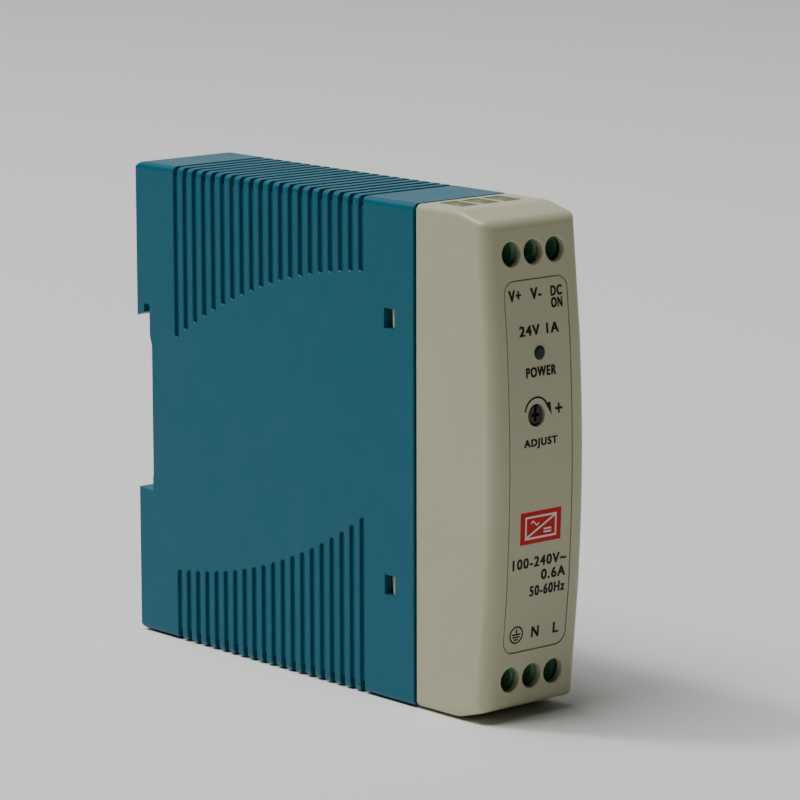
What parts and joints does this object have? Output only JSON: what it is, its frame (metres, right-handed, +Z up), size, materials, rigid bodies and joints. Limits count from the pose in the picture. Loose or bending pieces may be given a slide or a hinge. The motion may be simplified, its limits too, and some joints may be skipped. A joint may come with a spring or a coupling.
{
  "type": "din rail power supply",
  "caption": "Narrow rail-mounted power supply: ribbed teal housing with rail slot and sprung latch, grey push-fit front cover, screw terminals at both ends, lamp and trimmer.",
  "frame": {"origin": "middle of the bottom of the case, halfway along its width and depth", "axes": "+Z up; -Y is the front with the label, lamp and screw holes; +Y is the rail side; X runs across the width"},
  "size_m": [0.0226, 0.1, 0.09],
  "materials": {
    "housing_plastic": "fine-textured teal moulded polycarbonate",
    "cover_plastic": "fine-textured warm grey moulded polycarbonate",
    "label_print": "warm grey printed panel",
    "latch_plastic": "black glass-filled nylon",
    "spring_steel": "bright spring wire",
    "terminal_plastic": "green moulded polyamide",
    "screw_steel": "zinc plated steel",
    "cage_steel": "nickel plated steel",
    "contact_copper": "tinned copper alloy",
    "board_laminate": "green glass-epoxy laminate",
    "lamp_epoxy": "tinted green epoxy",
    "light_pipe_plastic": "green-tinted clear plastic",
    "trimmer_plastic": "blue moulded plastic",
    "rotor_plastic": "white nylon",
    "header_plastic": "black moulded plastic",
    "pin_metal": "tinned brass",
    "film_plastic": "white insulating film",
    "fuse_plastic": "black moulded plastic",
    "thermistor_coat": "dark phenolic coating",
    "varistor_coat": "blue epoxy coating",
    "film_capacitor_case": "yellow moulded plastic",
    "ferrite": "dark grey sintered ferrite",
    "copper_winding": "enamelled copper wire",
    "chip_epoxy": "black moulding compound",
    "capacitor_sleeve": "dark shrink sleeve over aluminium",
    "bobbin_plastic": "dark phenolic moulding",
    "winding_tape": "yellow polyester tape over copper",
    "heatsink_aluminium": "extruded aluminium",
    "ceramic_coat": "blue epoxy coating on ceramic"
  },
  "bodies": {
    "case": {"rear_housing": "housing_plastic", "front_cover": "cover_plastic", "front_label": "label_print", "latch_spring": "spring_steel", "terminal_block_output": "terminal_plastic", "terminal_block_input": "terminal_plastic", "terminal_contacts_output": "contact_copper", "terminal_contacts_input": "contact_copper", "lamp": "lamp_epoxy", "light_pipe": "light_pipe_plastic", "trimmer_body": "trimmer_plastic", "main_board": "board_laminate", "front_board": "board_laminate", "insulation_sheet": "film_plastic", "header_upper": "header_plastic", "header_upper_pins": "pin_metal", "header_lower": "header_plastic", "header_lower_pins": "pin_metal", "fuse": "fuse_plastic", "inrush_thermistor": "thermistor_coat", "surge_varistor": "varistor_coat", "line_filter_capacitor": "film_capacitor_case", "choke_core": "ferrite", "choke_winding_1": "copper_winding", "choke_winding_2": "copper_winding", "bridge_rectifier": "chip_epoxy", "bulk_capacitor": "capacitor_sleeve", "primary_heatsink": "heatsink_aluminium", "switching_transistor": "chip_epoxy", "transistor_screw": "screw_steel", "transformer_core_upper": "ferrite", "transformer_core_lower": "ferrite", "transformer_bobbin": "bobbin_plastic", "transformer_winding": "winding_tape", "controller_chip": "chip_epoxy", "optocoupler": "chip_epoxy", "safety_capacitor": "ceramic_coat", "secondary_heatsink": "heatsink_aluminium", "output_diode": "chip_epoxy", "diode_screw": "screw_steel", "output_capacitor_1": "capacitor_sleeve", "output_capacitor_2": "capacitor_sleeve", "output_inductor_core": "ferrite", "output_inductor_winding": "copper_winding"},
    "latch": {"din_latch": "latch_plastic"},
    "trimmer": {"trimmer_rotor": "rotor_plastic"},
    "terminal_screw_output_1": {"terminal_screw_output_1": "screw_steel"},
    "clamp_cage_output_1": {"clamp_cage_output_1": "cage_steel"},
    "terminal_screw_output_2": {"terminal_screw_output_2": "screw_steel"},
    "clamp_cage_output_2": {"clamp_cage_output_2": "cage_steel"},
    "terminal_screw_output_3": {"terminal_screw_output_3": "screw_steel"},
    "clamp_cage_output_3": {"clamp_cage_output_3": "cage_steel"},
    "terminal_screw_input_1": {"terminal_screw_input_1": "screw_steel"},
    "clamp_cage_input_1": {"clamp_cage_input_1": "cage_steel"},
    "terminal_screw_input_2": {"terminal_screw_input_2": "screw_steel"},
    "clamp_cage_input_2": {"clamp_cage_input_2": "cage_steel"},
    "terminal_screw_input_3": {"terminal_screw_input_3": "screw_steel"},
    "clamp_cage_input_3": {"clamp_cage_input_3": "cage_steel"}
  },
  "joints": [
    {"name": "latch_slide", "type": "slide", "parent": "case", "child": "latch", "axis": [0, 0, -1], "range_m": [0, 0.003], "stiffness_N_per_m": 1500, "springref_m": -0.002, "deforming": ["latch_spring"]},
    {"name": "trimmer_turn", "type": "hinge", "parent": "case", "child": "trimmer", "pos_m": [-0.001, -0.0494, 0.0543], "axis": [0, 1, 0], "range_deg": [-130, 130]},
    {"name": "output_screw_1_turn", "type": "hinge", "parent": "case", "child": "terminal_screw_output_1", "pos_m": [-0.00508, -0.0426, 0.08255], "axis": [0, 1, 0], "range_deg": [0, 1441]},
    {"name": "output_cage_1_slide", "type": "slide", "parent": "case", "child": "clamp_cage_output_1", "axis": [0, -1, 0], "range_m": [0, 0.002]},
    {"name": "output_screw_2_turn", "type": "hinge", "parent": "case", "child": "terminal_screw_output_2", "pos_m": [0, -0.0426, 0.08255], "axis": [0, 1, 0], "range_deg": [0, 1441]},
    {"name": "output_cage_2_slide", "type": "slide", "parent": "case", "child": "clamp_cage_output_2", "axis": [0, -1, 0], "range_m": [0, 0.002]},
    {"name": "output_screw_3_turn", "type": "hinge", "parent": "case", "child": "terminal_screw_output_3", "pos_m": [0.00508, -0.0426, 0.08255], "axis": [0, 1, 0], "range_deg": [0, 1441]},
    {"name": "output_cage_3_slide", "type": "slide", "parent": "case", "child": "clamp_cage_output_3", "axis": [0, -1, 0], "range_m": [0, 0.002]},
    {"name": "input_screw_1_turn", "type": "hinge", "parent": "case", "child": "terminal_screw_input_1", "pos_m": [-0.00508, -0.0426, 0.00745], "axis": [0, 1, 0], "range_deg": [0, 1441]},
    {"name": "input_cage_1_slide", "type": "slide", "parent": "case", "child": "clamp_cage_input_1", "axis": [0, -1, 0], "range_m": [0, 0.002]},
    {"name": "input_screw_2_turn", "type": "hinge", "parent": "case", "child": "terminal_screw_input_2", "pos_m": [0, -0.0426, 0.00745], "axis": [0, 1, 0], "range_deg": [0, 1441]},
    {"name": "input_cage_2_slide", "type": "slide", "parent": "case", "child": "clamp_cage_input_2", "axis": [0, -1, 0], "range_m": [0, 0.002]},
    {"name": "input_screw_3_turn", "type": "hinge", "parent": "case", "child": "terminal_screw_input_3", "pos_m": [0.00508, -0.0426, 0.00745], "axis": [0, 1, 0], "range_deg": [0, 1441]},
    {"name": "input_cage_3_slide", "type": "slide", "parent": "case", "child": "clamp_cage_input_3", "axis": [0, -1, 0], "range_m": [0, 0.002]}
  ],
  "couplings": [
    {"joint": "output_screw_1_turn", "follows": "output_cage_1_slide", "rad_per_m": 12566},
    {"joint": "output_screw_2_turn", "follows": "output_cage_2_slide", "rad_per_m": 12566},
    {"joint": "output_screw_3_turn", "follows": "output_cage_3_slide", "rad_per_m": 12566},
    {"joint": "input_screw_1_turn", "follows": "input_cage_1_slide", "rad_per_m": 12566},
    {"joint": "input_screw_2_turn", "follows": "input_cage_2_slide", "rad_per_m": 12566},
    {"joint": "input_screw_3_turn", "follows": "input_cage_3_slide", "rad_per_m": 12566}
  ]
}
